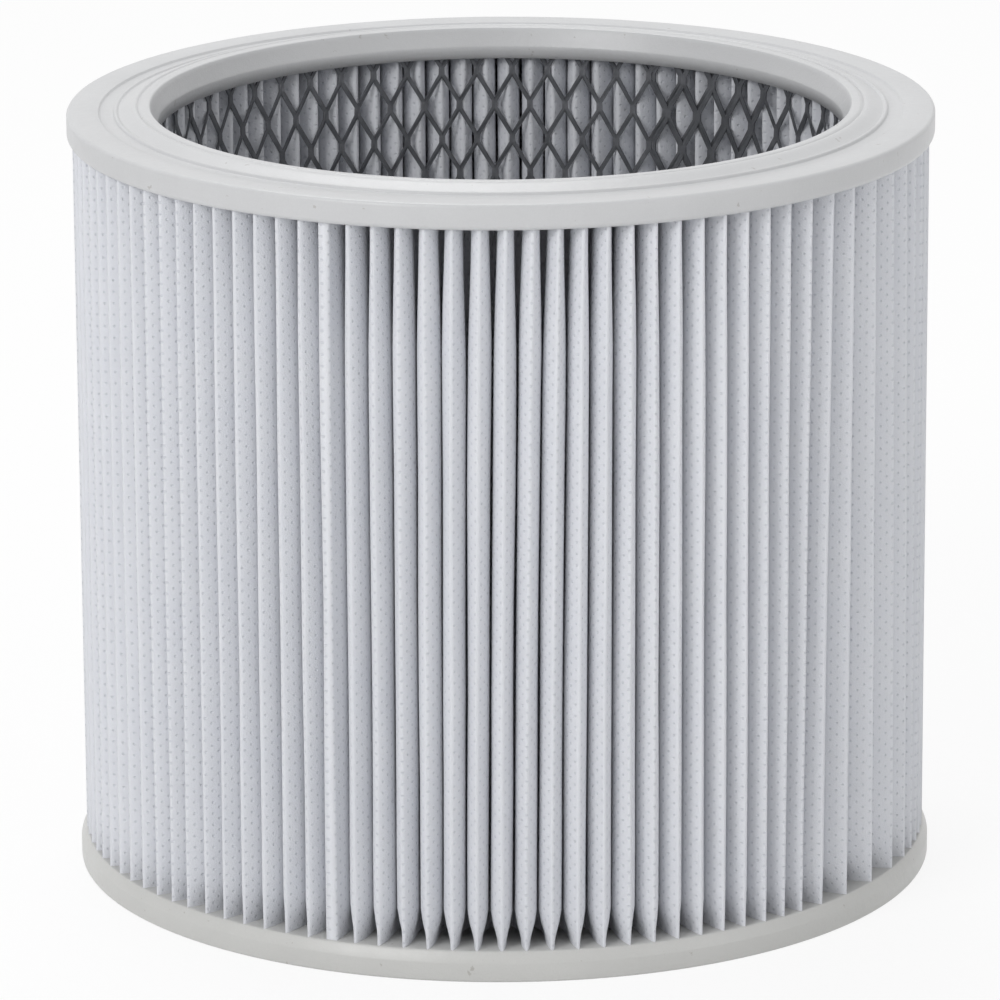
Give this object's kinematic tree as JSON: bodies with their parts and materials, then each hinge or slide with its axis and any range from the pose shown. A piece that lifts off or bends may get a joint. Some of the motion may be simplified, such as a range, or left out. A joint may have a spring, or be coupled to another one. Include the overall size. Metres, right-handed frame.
{
  "type": "vacuum cartridge filter",
  "caption": "Open-ended pleated cartridge filter for a wet and dry vacuum: folded cloth round an expanded metal tube, moulded into soft plastic end rings.",
  "frame": {"origin": "middle of the bottom face, where the filter stands", "axes": "+Z along the filter's axis, up to the sealing lip; -Y is the front"},
  "size_m": [0.2, 0.2, 0.18],
  "materials": {
    "end_cap": "smooth light grey moulded soft plastic, satin",
    "filter_cloth": "white point-bonded polyester cloth, matte",
    "core_metal": "dark grey expanded steel, satin"
  },
  "bodies": {
    "root": {"top_end_cap": "end_cap", "bottom_end_cap": "end_cap", "pleated_media": "filter_cloth", "expanded_metal_core": "core_metal"}
  },
  "joints": []
}
